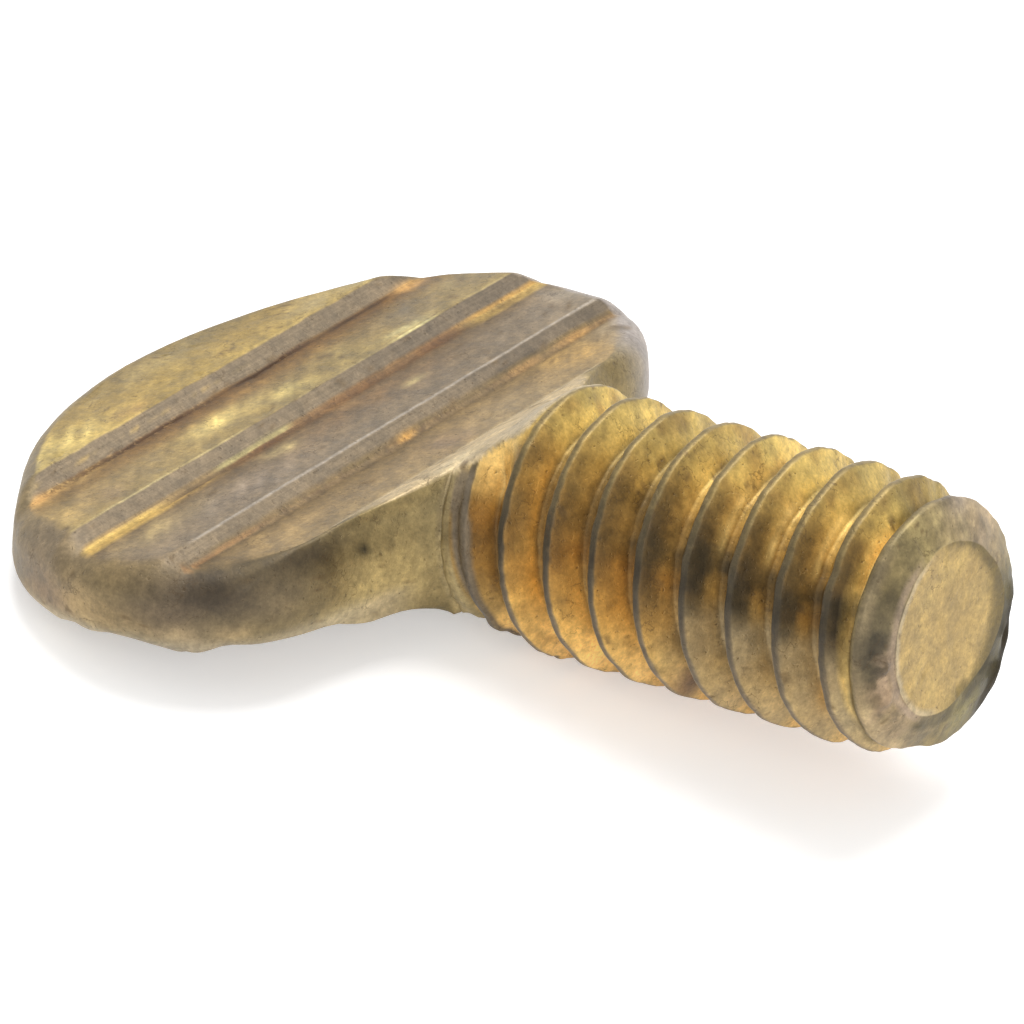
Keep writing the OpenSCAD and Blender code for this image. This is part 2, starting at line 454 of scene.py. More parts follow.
def neck_loops(head_end, angle):
    """Loops between the head's straight edge and the plain land: flared at the sides, a flat ramp
    above and below."""
    land = ring(NECK_LEN, shank_r(np.full_like(angle, NECK_LEN), angle), angle)
    j = np.arange(LOOP_N) % (LOOP_N // 2)
    from_wall = np.minimum(j, LOOP_N // 2 - j)
    curve = 0.32 * ease((WALL_N + CORNER_N - from_wall) / 10.0)
    loops = []
    for w in NECK_STEPS:
        along = w * (1 - curve) + (1 - math.cos(w * math.pi / 2)) * curve
        across = w * (1 - curve) + math.sin(w * math.pi / 2) * curve
        share = np.stack([along, across, across], -1)
        loops.append(head_end * (1 - share) + land * share)
    return [*loops, land]


def build():
    """The whole screw as one closed mesh: vertices in mm, faces, which part of the surface each
    vertex belongs to, and how far it lies from the side wall onto a face of the head."""
    angle = loop_angles()
    verts, region, inward = [], [], []
    count = 0

    def add(points, kind, on_face=0.0):
        """Takes in points and gives their numbers."""
        nonlocal count
        verts.append(points)
        region.append(np.full(len(points), kind))
        inward.append(np.full(len(points), on_face))
        ids = np.arange(len(points)) + count
        count += len(points)
        return ids

    corner = np.concatenate([np.zeros(WALL_N), np.arange(CORNER_N + 1) / CORNER_N])
    quarter = np.concatenate([corner, np.ones(FACE_N // 2)])
    half = np.concatenate([quarter, quarter[-2::-1]])
    whole = np.concatenate([half, half[-2:0:-1]])
    head = head_loops()
    loops = [add(points, HEAD, whole) for points in head]
    loops += [add(points, NECK) for points in neck_loops(head[-1], angle)]
    land_ids = loops[-1]

    # The tip's loops, from the thread's end over the rim and the chamfer to the flat face
    rim = rim_r(angle)
    rim_front = rim - 0.03
    thread_end = shank_r(np.full_like(angle, THREAD_END), angle)
    tip = [add(ring(THREAD_END, thread_end, angle), THREAD)]
    for x, r in ((THREAD_END + 0.08, rim + 0.005), (RIM_END - 0.04, rim), (RIM_END, rim_front)):
        tip.append(add(ring(x, r, angle), RIM))
    p = circle(2, angle)
    disc_edge = DISC_R + 0.24 * hump(angle, -15, 0.7) - 0.18 * hump(angle, -62, 0.5)
    disc_edge = disc_edge + 0.05 * noise(p, 1.1, 71) + 0.02 * noise(p, 0.35, 72)
    for f in CHAMFER_STEPS:
        x = RIM_END + (SHANK_LEN - RIM_END) * f + CHAMFER_BELLY * math.sin(math.pi * f)
        tip.append(add(ring(x, rim_front * (1 - f) + disc_edge * f, angle), RIM))
    for f in DISC_STEPS:
        tip.append(add(ring(SHANK_LEN - DISC_HOLLOW * (1 - f * f), disc_edge * f, angle), DISC))
    centre = add(np.array([[SHANK_LEN - DISC_HOLLOW, 0.0, 0.0]]), DISC)[0]

    # Thread rows follow the helix, and their ends collapse onto the loops beside them
    row_n = len(THREAD_ROWS)
    rows = row_n * (math.ceil((THREAD_END - FIRST_CREST) / PITCH) + 4)
    table = []
    for i in range(rows):
        start = FIRST_CREST + (i // row_n - 2) * PITCH + THREAD_ROWS[i % row_n]
        x = start + angle / (2 * math.pi) * PITCH
        begun = x > NECK_LEN + ROW_GAP
        inside = begun & (x < THREAD_END - ROW_GAP)
        ids = np.where(begun, tip[0], land_ids)
        if inside.any():
            xi, ai = x[inside], angle[inside]
            ids[inside] = add(ring(xi, shank_r(xi, ai), ai), THREAD)
        table.append(ids)

    quads = []
    for a, b in [*zip(loops, loops[1:]), *zip(tip, tip[1:])]:
        quads.append(np.stack([a, np.roll(a, -1), np.roll(b, -1), b], -1))
    for i in range(rows - 1):
        a, b = table[i], table[i + 1]
        next_a, next_b = np.roll(a, -1), np.roll(b, -1)
        # At the seam a row goes on as the same row of the next turn
        if i + 1 + row_n < rows:
            next_a[-1], next_b[-1] = table[i + row_n][0], table[i + 1 + row_n][0]
        else:
            next_a[-1], next_b[-1] = tip[0][0], tip[0][0]
        quads.append(np.stack([a, next_a, next_b, b], -1))
    middle = np.full(LOOP_N, centre)
    quads.append(np.stack([tip[-1], np.roll(tip[-1], -1), middle, middle], -1))

    # Points that fall together, at the far edge, become one
    verts, region, inward = (np.concatenate(part) for part in (verts, region, inward))
    key = np.round(verts / SAME_POINT).astype(np.int64)
    _, first, merged = np.unique(key, axis=0, return_index=True, return_inverse=True)
    quads = np.asarray(merged).reshape(-1)[np.concatenate(quads)]
    verts, region, inward = verts[first], region[first], inward[first]
    faces, seen = [], set()
    for quad in quads.tolist():
        face = list(dict.fromkeys(quad))
        mark = tuple(sorted(face))
        if len(face) > 2 and mark not in seen:
            seen.add(mark)
            faces.append(face)
    used = np.zeros(len(verts), bool)
    used[np.concatenate(faces)] = True
    new = np.cumsum(used) - 1
    return verts[used], [new[face].tolist() for face in faces], region[used], inward[used]


def triangles(faces):
    return np.array([(f[0], f[k], f[k + 1]) for f in faces for k in range(1, len(f) - 1)])


def vertex_normals(verts, tri):
    n = np.cross(verts[tri[:, 1]] - verts[tri[:, 0]], verts[tri[:, 2]] - verts[tri[:, 0]])
    out = np.zeros_like(verts)
    for c in range(3):
        np.add.at(out, tri[:, c], n)
    return out / np.maximum(np.linalg.norm(out, axis=1, keepdims=True), 1e-12)


# Local dents and bulges: middle, reach and push, in mm
PUSHES = (
    ((-3.0, -8.9, -1.1), 1.3, (0.02, 0.04, 0.10)),
    ((-1.6, -8.3, -1.15), 0.9, (0.0, -0.05, -0.17)),
    ((0.4, -4.7, -1.3), 1.1, (0.08, -0.02, -0.13)),
    ((13.0, 2.0, -2.2), 1.6, (0.04, 0.05, -0.06)),
    ((13.0, -0.9, -3.0), 1.4, (0.0, 0.02, 0.12)),
    ((-4.35, -8.9, -0.8), 0.8, (0.0, -0.02, -0.10)),
    ((-1.7, -8.3, -0.95), 0.8, (0.0, -0.04, -0.07)),
    ((1.12, -2.25, -1.85), 0.35, (0.0, -0.10, -0.14)),
    ((2.0, -2.1, -2.0), 0.50, (0.0, -0.05, -0.08)),
    ((0.8, -3.3, -1.9), 0.9, (0.0, 0.0, 0.08)),
    ((-0.1, -6.3, -1.1), 1.3, (0.0, 0.03, 0.07)),
    ((13.2, -2.38, 0.05), 0.26, (0.17, 0.0, 0.0)),
    ((13.2, -2.30, -0.80), 0.30, (0.15, 0.0, 0.0)),
    ((13.1, 2.75, -0.30), 0.45, (0.10, 0.0, 0.0)),
    ((13.1, 2.50, -1.35), 0.40, (-0.10, 0.0, 0.0)),
    ((13.1, 2.05, -1.95), 0.45, (0.09, 0.0, 0.0)),
)


def shape_up(verts, tri):
    """The cast surface's unevenness, pits and dents."""
    v = verts.copy()
    for at, reach, push in PUSHES:
        d = np.linalg.norm(v - np.array(at), axis=1) / reach
        v += np.where(d < 1, (1 - d * d) ** 2, 0)[:, None] * np.array(push)
    n = vertex_normals(v, tri)
    rough = 0.012 * fractal(v, 0.9, 201, 3) + 0.006 * fractal(v, 0.22, 205, 2)
    pits = ease((noise(v, 0.34, 211) * noise(v, 0.9, 212) - 0.30) / 0.3)
    return v + n * (rough - 0.035 * pits)[:, None]


# ======== colours

def blob(p, at, size):
    """A soft spot: 1 in its middle, falling off over its size along each axis."""
    d = (p - np.array(at, float)) / np.array(size, float)
    return np.exp(-(d * d).sum(1))


def lerp(c, colour, mask):
    """Colours moved towards one colour, or towards one each, by a mask."""
    return c + (np.array(colour, float) - c) * np.clip(mask, 0, 1)[:, None]


def coats(c, *layers):
    """Colours with others laid over them in turn, each a colour and its mask."""
    for colour, mask in layers:
        c = lerp(c, colour, mask)
    return c


def lit(c, *amounts):
    """Colours made lighter by each amount in turn, or darker where it is below 0."""
    for amount in amounts:
        c = c * (1 + amount)[:, None]
    return c


def by_value(v, places, colours):
    """Colours blended along one value."""
    return np.stack([np.interp(v, places, [c[k] for c in colours]) for k in range(3)], 1)


# Colours of the upper face along X
FACE_PLACES = (-10.2, -9.4, -8.0, -7.1, -6.5, -5.3, -4.5, -3.8, -2.6, -1.7, -0.9, 0.2)
FACE_TONES = (
    (124, 104, 62), (150, 125, 69), (164, 139, 78), (122, 94, 54), (142, 119, 76), (150, 129, 81),
    (112, 90, 60), (126, 108, 83), (129, 113, 90), (128, 106, 70), (146, 123, 86), (150, 129, 92),
)

# The serrations' steep sides along X, as they are painted and as they are scored
STEEP = ((-7.98, -7.46), (-5.2, -4.76), (-2.4, -1.98))
SCORED = ((-7.98, -7.4), (-5.2, -4.6), (-2.4, -1.9))

# Colours of the side wall and neck along X
WALL_PLACES = (-10.0, -6.0, -3.6, -1.5, 0.4, 1.4)
WALL_TONES = (
    (134, 116, 78), (122, 106, 80), (138, 117, 78), (104, 90, 66), (138, 120, 77), (154, 136, 92),
)

# Colours of the thread's flanks, of its crests and of the rim, by angle in degrees; the flanks are
# painted lighter below the near side, most from about 200 to 235 degrees, as painted light
FLANK_ANGLES = (0, 40, 75, 105, 130, 160, 185, 205, 230, 270, 320, 360)
FLANK_TONES = (
    (180, 150, 84), (196, 168, 96), (206, 180, 104), (198, 168, 92), (186, 144, 68),
    (172, 122, 50), (203, 154, 72), (228, 187, 107), (236, 198, 125), (206, 160, 86),
    (190, 150, 80), (180, 150, 84),
)
CREST_ANGLES = (0, 80, 120, 160, 215, 360)
CREST_TONES = (
    (112, 96, 64), (134, 116, 74), (114, 97, 58), (58, 50, 36), (120, 105, 82), (112, 96, 64),
)
RIM_ANGLES = (0, 15, 45, 75, 105, 135, 165, 195, 225, 255, 270, 285, 312, 340, 360)
RIM_TONES = (
    (108, 95, 50), (130, 114, 76), (176, 154, 122), (160, 140, 100), (160, 142, 94),
    (112, 98, 64), (104, 92, 66), (128, 107, 74), (152, 132, 100), (136, 119, 81),
    (118, 104, 64), (110, 96, 54), (48, 42, 22), (62, 54, 26), (108, 95, 50),
)

# A painted highlight in the last valley behind the rim, where its root reflects the light: its
# strength by angle
GLINT_STRIP_ANGLES = (92, 104, 138, 150, 180, 192, 204, 214)
GLINT_STRIP_STRENGTH = (0, 0.6, 0.55, 0.5, 0.85, 0.8, 0.6, 0)

# How much lighter or darker the rim's outer part is, by angle
OUTER_ANGLES = (0, 45, 75, 105, 135, 165, 195, 225, 285, 315, 345, 360)
OUTER_LIGHT = (0, 0, -0.3, 0, -0.25, 0.2, 0.2, 0.1, 0, -0.25, -0.3, 0)

# Patches of colour on the upper face: place along X and Y, reach, colour and strength
FACE_PATCHES = (
    # The first patch is painted shade where the face rounds over into the near side wall by the
    # neck
    (-0.9, -7.9, 1.1, 0.9, (84, 70, 46), 0.85),
    (-0.45, 4.6, 0.4, 2.4, (124, 106, 76), 0.6),
    (-3.8, -6.6, 0.5, 1.8, (176, 153, 103), 0.75),
    (-6.3, 8.1, 0.9, 0.5, (118, 106, 80), 0.6),
    (-8.6, -6.4, 0.7, 0.9, (226, 206, 146), 0.9),
    (-9.7, 2.0, 0.5, 3.4, (112, 97, 62), 0.8),
    (-8.6, 6.3, 0.5, 0.6, (176, 172, 150), 0.7),
    (-7.2, -6.0, 0.25, 1.6, (182, 150, 96), 0.8),
    (-0.5, -6.0, 0.5, 1.8, (100, 85, 58), 0.7),
    (-1.0, -6.0, 0.9, 1.0, (172, 144, 98), 0.75),
    (-0.7, 0.1, 0.5, 0.7, (130, 108, 88), 0.55),
    (-0.6, 2.4, 0.6, 1.3, (158, 138, 104), 0.5),
    (-1.2, 5.6, 0.9, 1.2, (186, 150, 88), 0.85),
    (-1.0, 7.4, 1.3, 1.0, (156, 139, 113), 1.0),
    (-3.4, 8.3, 1.0, 0.6, (150, 138, 120), 0.8),
    (-3.3, -4.4, 0.6, 1.8, (140, 126, 112), 0.6),
    (-3.9, 1.2, 0.5, 2.8, (126, 100, 70), 0.7),
    (-4.05, -2.0, 0.22, 0.45, (212, 190, 130), 1.0),
    (-3.62, 2.4, 0.14, 0.42, (206, 186, 130), 0.9),
    (-4.1, 1.2, 0.2, 0.7, (150, 116, 74), 0.6),
    (-3.4, 6.6, 0.8, 1.6, (128, 114, 94), 0.7),
    (-6.2, -7.3, 0.9, 1.0, (180, 152, 98), 0.8),
    (-5.9, -6.0, 0.6, 0.6, (132, 112, 84), 0.7),
    (-6.0, -4.6, 0.6, 1.0, (166, 144, 102), 0.5),
    (-6.2, -1.7, 0.42, 1.3, (218, 194, 122), 0.95),
    (-5.75, 0.5, 0.38, 0.75, (220, 198, 126), 0.95),
    (-6.0, 2.6, 0.7, 1.1, (168, 148, 94), 0.6),
    (-5.5, 4.6, 0.16, 0.8, (216, 204, 146), 0.9),
    (-6.3, 5.4, 0.7, 1.0, (118, 106, 86), 0.75),
    (-6.3, 7.2, 0.7, 0.7, (156, 138, 96), 0.6),
    (-6.9, 0.5, 0.26, 5.0, (142, 110, 64), 0.75),
    (-8.6, -4.6, 0.7, 1.6, (220, 196, 122), 0.8),
    (-8.3, -2.3, 0.28, 0.7, (152, 122, 72), 0.7),
    (-8.9, 0.4, 0.7, 1.4, (172, 147, 84), 0.5),
    (-9.8, 0.0, 0.5, 3.0, (160, 140, 92), 0.7),
    (-8.5, 4.9, 0.5, 1.2, (168, 151, 112), 0.7),
)

# Patches on the side wall and neck: place, reach, colour and strength
WALL_PATCHES = (
    ((-1.1, -8.1, 0.42), (1.35, 1.7, 0.5), (42, 34, 24), 1.1),
    ((0.1, -6.3, 0.90), (1.2, 1.7, 0.42), (62, 51, 33), 0.9),
    ((-2.1, -8.5, 0.2), (1.0, 1.2, 0.6), (110, 94, 74), 0.7),
    ((-0.3, -7.0, 0.1), (1.0, 1.4, 0.6), (120, 104, 78), 0.7),
    ((-5.5, -8.7, 0.4), (1.2, 1.0, 0.6), (130, 114, 92), 0.8),
    ((-3.8, -8.9, 0.5), (1.6, 1.0, 0.35), (112, 97, 68), 0.6),
    ((-5.2, -8.9, -0.3), (0.9, 1.0, 0.5), (128, 106, 84), 0.7),
    ((-4.2, -8.9, -0.2), (0.8, 1.0, 0.6), (178, 152, 106), 0.7),
    ((-1.8, -8.6, -0.5), (0.5, 0.5, 0.25), (192, 166, 122), 0.8),
    ((-0.9, -7.8, -0.45), (0.3, 0.4, 0.18), (184, 158, 114), 0.65),
    ((0.7, -4.2, -0.4), (0.9, 1.3, 0.8), (204, 180, 120), 0.85),
    ((0.3, -5.6, -0.9), (0.9, 1.3, 0.35), (186, 168, 120), 0.6),
    ((-4.2, -8.6, -0.85), (2.8, 1.2, 0.34), (198, 184, 154), 0.85),
    ((0.45, -4.6, 0.55), (0.13, 0.15, 0.12), (50, 44, 28), 1.1),
)


def face_tones(v, p, streak, stroke, mottle):
    """Colours of the head's broad faces."""
    x, y = v.T[:2]
    px = x + 0.015 * noise(v, 0.8, 345) + 0.012 * noise(v, 0.25, 346)
    c = by_value(px, FACE_PLACES, FACE_TONES)
    for at_x, at_y, reach_x, reach_y, colour, strength in FACE_PATCHES:
        mask = blob(p, (at_x, at_y, 0.9), (reach_x, reach_y, 3.0)) * strength
        c = lerp(c, colour, mask * (0.85 + 0.5 * stroke))
    c = lit(c, 0.11 * streak + 0.10 * stroke + 0.06 * mottle)
    steep = lerp((117, 102, 80), (104, 91, 73), past(y, 1.0, 3.0) * (x > -6))
    steep = lit(steep, 0.06 * streak + 0.05 * mottle)
    broken = ease(0.5 + 1.3 * noise(v, (9.0, 1.1, 9.0), 341))
    patchy = ease(0.6 + 1.1 * noise(v, (9.0, 0.9, 9.0), 342))
    rubbed = before(y, 2.0, 3.0) * ease(0.5 + 2 * stroke)
    gold_ends = blob(p, (-7.3, -6.9, 0.8), (0.18, 0.75, 2))
    gold_ends = gold_ends + blob(p, (-7.3, 6.9, 0.8), (0.16, 0.6, 2))
    return coats(
        c,
        # Steep sides of the serrations
        (steep, sum(band(px, lo, hi, 0.07) for lo, hi in STEEP)),
        ((166, 140, 86), band(px, -7.76, -7.68, 0.05) * rubbed * 0.7),
        # Crests catch the light
        ((196, 174, 118), band(px, -8.05, -7.98, 0.04) * broken * 0.35),
        ((206, 190, 140), band(px, -5.26, -5.20, 0.05) * broken
            * (0.75 - 0.35 * past(y, -4.0, 3.0))),
        ((220, 208, 148), band(px, -5.30, -5.20, 0.05) * 0.8
            * past(y, 3.4, 0.8) * before(y, 5.8, 0.8)),
        ((174, 164, 152), band(px, -2.49, -2.40, 0.07) * 0.75 * past(y, -7.6, 0.8)),
        # The first valley is darker, with gold at both its ends
        ((112, 82, 46), band(px, -7.44, -7.06, 0.26) * 0.75
            * past(y, -5.4, 3.0) * before(y, 7.0, 0.8)),
        ((66, 44, 22), band(px, -7.46, -7.30, 0.09) * (0.5 + 0.5 * patchy)
            * past(y, -6.0, 1.0) * before(y, 6.8, 0.6)),
        ((204, 158, 94), gold_ends),
        # The second one too, with gold beside it towards both sides
        ((108, 76, 44), band(px, -4.76, -4.42, 0.14) * (0.55 + 0.4 * patchy)
            * past(y, -3.8, 1.0) * before(y, 5.9, 0.6)),
        ((166, 126, 76), blob(p, (-4.5, 0.5, 1), (0.10, 0.5, 2)) * 0.6),
        ((164, 154, 104), band(px, -4.80, -4.66, 0.06) * 0.8
            * past(y, -3.8, 0.5) * before(y, -0.6, 0.5)),
        ((192, 160, 88), band(px, -4.70, -4.32, 0.10) * before(y, -5.0, 1.2)),
        ((204, 166, 92), band(px, -4.50, -4.42, 0.05) * before(y, -3.2, 1.0) * 0.8),
        ((112, 86, 48), band(px, -4.36, -4.31, 0.04) * before(y, -3.2, 1.0) * 0.7),
        ((188, 157, 84), band(px, -4.72, -4.36, 0.12) * past(y, 5.2, 1.3) * (0.3 + 0.45 * patchy)),
        ((186, 138, 64), band(px, -4.76, -4.66, 0.06) * past(y, 5.2, 1.3) * 0.5),
        # The third one is paler
        ((104, 85, 56), band(px, -2.06, -1.70, 0.16) * 0.7),
        ((100, 84, 48), band(px, -2.02, -1.94, 0.06) * (0.5 + 0.5 * patchy) * 0.85
            * past(y, -7.5, 0.6)),
        ((156, 112, 66), band(px, -1.96, -1.84, 0.08) * before(y, -4.6, 1.5) * (0.5 + 0.5 * patchy)),
        ((218, 164, 82), blob(p, (-1.92, 0.05, 1), (0.12, 0.30, 2))),
        ((172, 130, 74), band(px, -1.98, -1.76, 0.14) * past(y, 3.2, 1.0) * (0.05 + 0.4 * patchy)),
        ((200, 152, 80), blob(p, (-1.85, 6.5, 1), (0.13, 0.35, 2)) * 0.7),
        # A pale line where the ramp starts
        ((196, 178, 144), band(x, -0.10, 0.10, 0.08) * (np.abs(y) < 5.0) * 0.6),
    )


def thread_tones(v, px, stroke, mottle):
    """Colours of the shank: flanks by their angle, painted lighter underneath, dull crests with a
    painted highlight along one edge, the dark patina on the side that faces out, and painted shade
    and highlights in the roots."""
    x, y, z = v.T
    r = np.hypot(y, z)
    turn = around(y, z)
    rel = (x - FIRST_CREST - turn / 360 * PITCH + PITCH / 2) % PITCH - PITCH / 2
    deep = np.clip((CREST_R - r) / THREAD_DEPTH, 0, 1)
    t = by_value(turn + 8 * mottle, FLANK_ANGLES, FLANK_TONES)
    t = lerp(t, (214, 186, 112), ease(0.1 + 1.6 * mottle) * 0.35)
    t = lerp(t, (144, 110, 56), ease(0.1 - 1.6 * fractal(v, 0.8, 361, 3)) * 0.48)
    t = lit(t, 0.12 * stroke)

    # The patina's middle, reach and strength along the shank
    middle = np.interp(px, (3, 5, 6.3, 8, 9.6, 11.2, 12.8), (174, 138, 146, 156, 161, 162, 158))
    reach = np.interp(px, (3, 5, 8, 11.2, 12.8), (20, 32, 30, 28, 26))
    strength = np.interp(px, (2.4, 2.9, 3.4, 5, 6.6, 8, 12.8), (0, 0.2, 0.15, 0.5, 0.75, 0.95, 1))
    shade = np.exp(-((turn + 9 * fractal(v, 1.2, 365, 3) - middle) / reach) ** 2) * strength
    shade = shade * (1 - 0.7 * past(deep, 0.35, 0.4) * past(turn, 148, 16))
    shade = shade * (0.84 + 0.32 * fractal(v, 0.5, 367, 2) + 0.22 * fractal(v, 0.24, 368, 2))
    t = lerp(t, (108, 84, 42), shade * 1.1)
    t = lerp(t, (64, 54, 34), (shade - 0.56) * 1.5)

    # Painted shade deep in the roots, darker places just beside the crests, and painted highlights
    # along the roots: a bright gold glint on top and an orange glow of reflected light in the first
    # turns
    t = lit(
        t,
        -0.22 * past(deep, 0.8, 0.15) * (1 - band(turn, 100, 146, 10) * past(px, 5.8, 1.4)),
        -0.10 * band(turn, 72, 120, 14) * (1 - past(deep, 0.3, 0.3)),
        -0.20 * band(turn, 120, 170, 16) * (1 - past(deep, 0.25, 0.4)),
        -0.14 * band(turn, 120, 180, 12) * past(px, 6.6, 1.0) * (1 - past(deep, 0.45, 0.3)),
    )
    root = band(rel, 0.38, 0.49, 0.06) * (deep > 0.4)
    # The gold glint along the roots is a painted highlight
    root_glint = np.interp(px, (6.5, 7.4, 8.5, 12.5), (0.0, 0.15, 0.6, 0.6)) * band(turn, 102, 142, 14)
    t = lerp(t, (255, 226, 148), root * root_glint * (1 + 0.5 * stroke))
    # The orange in the roots of the first turns is painted reflected light
    t = lerp(t, (226, 166, 70), root * band(turn, 124, 196, 14) * before(px, 4.8, 1.0) * 0.45)
    t = lit(t, -0.10 * band(turn, 178, 200, 12) * past(px, 7.5, 1.0))

    # Greyer mottling low down towards the tip, lighter and darker places, coloured spots, painted
    # light on the first turn beside the ramp and a painted highlight behind the rim
    low = band(turn, 170, 240, 16) * past(px, 7.0, 1.0)
    t = lerp(t, (158, 140, 106), low * (0.7 + 0.3 * mottle))
    t = lit(
        t,
        -0.28 * band(turn, 164, 215, 14) * before(px, 3.0, 0.4),
        -0.16 * before(turn, 106, 20) * past(px, 11.2, 0.9),
        0.09 * before(turn, 122, 20) * band(px, 7.4, 10.0, 0.8),
    )
    place = np.stack([px, turn / 60, z * 0], 1)
    glint_strip = np.interp(turn, GLINT_STRIP_ANGLES, GLINT_STRIP_STRENGTH)
    t = coats(
        t,
        ((112, 90, 72), blob(place, (7.6, 3.80, 0), (0.4, 0.16, 1)) * 0.95),
        ((214, 156, 70), blob(place, (11.6, 3.5, 0), (0.2, 0.3, 1)) * 0.7),
        # Painted light on the first turn's top beside the ramp, where the ramp's edge shades it
        ((240, 204, 128), band(turn, 112, 148, 14) * before(px, 3.0, 0.3) * 0.7),
        # A gold painted highlight in the last valley behind the rim
        ((248, 206, 112), glint_strip * band(px, 12.25, 12.62, 0.14) * past(rel, 0.24, 0.08)),
    )
    t = lit(
        t,
        -0.26 * band(turn, 146, 182, 12) * past(px, 12.0, 0.25) * past(rel, 0.16, 0.14),
        0.12 * before(turn, 108, 14) * band(px, 3.2, 4.6, 0.3) * past(rel, 0.12, 0.1),
        # Lighter underneath: painted light
        0.06 * past(turn, 205, 20),
    )
    t = lerp(t, (122, 106, 70), past(px, 12.5, 0.12) * past(r, 2.6, 0.15))

    # Crests, with a painted highlight along their edge towards the tip, on top and on the near side
    crest = by_value(turn, CREST_ANGLES, CREST_TONES)
    crest_glint = band(turn, 168, 235, 12) + band(turn, 88, 134, 12)
    crest = lit(crest, 0.22 * ease(rel / 0.06) * crest_glint, 0.08 * mottle)
    edge = 0.018 * noise(v, 0.25, 366)
    t = lerp(t, crest, ease((0.112 - np.abs(rel) + edge) / 0.05) * (deep < 0.5))

    # The plain land, and a grey band where the first groove starts beside it
    land = before(x, FIRST_CREST + turn / 360 * PITCH - 0.34, 0.08) * (r > 2.7)
    grey = band(x, 1.48, 2.5, 0.10) * band(turn, 138, 250, 10)
    grey = grey * band(rel - 0.09 * past(turn, 152, 14), -0.43, 0.08, 0.06)
    return coats(
        t,
        ((170, 152, 108), land * 0.95),
        ((132, 116, 82), land * band(turn, 138, 176, 16) * 0.7),
        ((112, 100, 82), grey * 0.9),
    )


def tip_tones(v, p, region, mottle):
    """Colours of the worn rim and chamfer, and of the flat end."""
    y, z = v.T[1:]
    r = np.hypot(y, z)
    turn = around(y, z)
    k = by_value(turn + 10 * mottle, RIM_ANGLES, RIM_TONES)
    k = lit(k, 0.25 * fractal(v, 0.6, 371, 3) + 0.22 * fractal(v, 0.22, 372, 2))
    chips = past(noise(v, 0.26, 375), 0.05, 0.2) * blob(v, (13.1, -2.3, -0.4), (1, 0.3, 0.75))
    k = coats(
        k,
        ((190, 172, 118), ease(-0.1 + 1.8 * fractal(v, 0.45, 373, 3)) * 0.35),
        ((196, 178, 160), blob(p, (12.9, 1.3, 2.7), (1, 0.7, 0.3)) * 0.8),
        ((164, 144, 108), past(r, 2.66, 0.14) * before(y, -1.0, 1.0) * 0.6),
        ((164, 138, 110), blob(p, (13.1, -2.4, 0.05), (1, 0.2, 0.3)) * 0.8),
        ((158, 132, 104), blob(p, (13.1, -2.35, -0.7), (1, 0.25, 0.42)) * 0.8),
        ((42, 37, 26), blob(p, (12.95, -2.7, 0.3), (1, 0.45, 0.9)) * 0.7),
        ((46, 40, 24), blob(p, (13.1, 2.6, -1.1), (1, 0.4, 1.2)) * 0.75),
        ((150, 140, 88), blob(p, (13.1, 0.9, -2.4), (1, 0.7, 0.5)) * 0.7),
        # Round the disc: a pale edge, shade below, chips and a crack
        ((170, 148, 126), band(r, 2.02, 2.20, 0.08) * before(y, -0.6, 0.6) * 0.7),
        ((74, 65, 38), band(r, 1.9, 2.34, 0.14) * band(turn, 236, 335, 24)
            * (0.6 + 0.6 * fractal(v, 0.4, 374, 2))),
        ((174, 148, 118), chips),
        ((56, 46, 30), band(r, 2.10, 2.14, 0.04) * band(turn, 86, 104, 8) * 0.8),
    )
    outer = past(r, 2.6, 0.3)
    k = lit(k, outer * np.interp(turn, OUTER_ANGLES, OUTER_LIGHT))
    k = lerp(k, (44, 34, 12), outer * band(turn, 296, 352, 16) * 0.75)
    disc = coats(
        (184, 156, 98),
        ((162, 136, 86), ease(0.2 + 1.3 * fractal(v, 1.0, 381, 3)) * 0.6),
        ((198, 171, 106), ease(0.1 + 1.3 * fractal(v, 0.6, 385, 2)) * 0.4),
        # Painted shade over the disc's outer part on the far side, where it is hollowed
        ((110, 94, 54), past(r + 0.3 * fractal(v, 0.8, 388, 3), 1.68, 0.32) * 0.95
            * past(y, -0.5, 1.2)),
        ((186, 168, 136), past(r, 1.82, 0.10) * before(y, -0.2, 0.8) * 0.8),
    )
    return np.where((region == DISC)[:, None], disc, k)


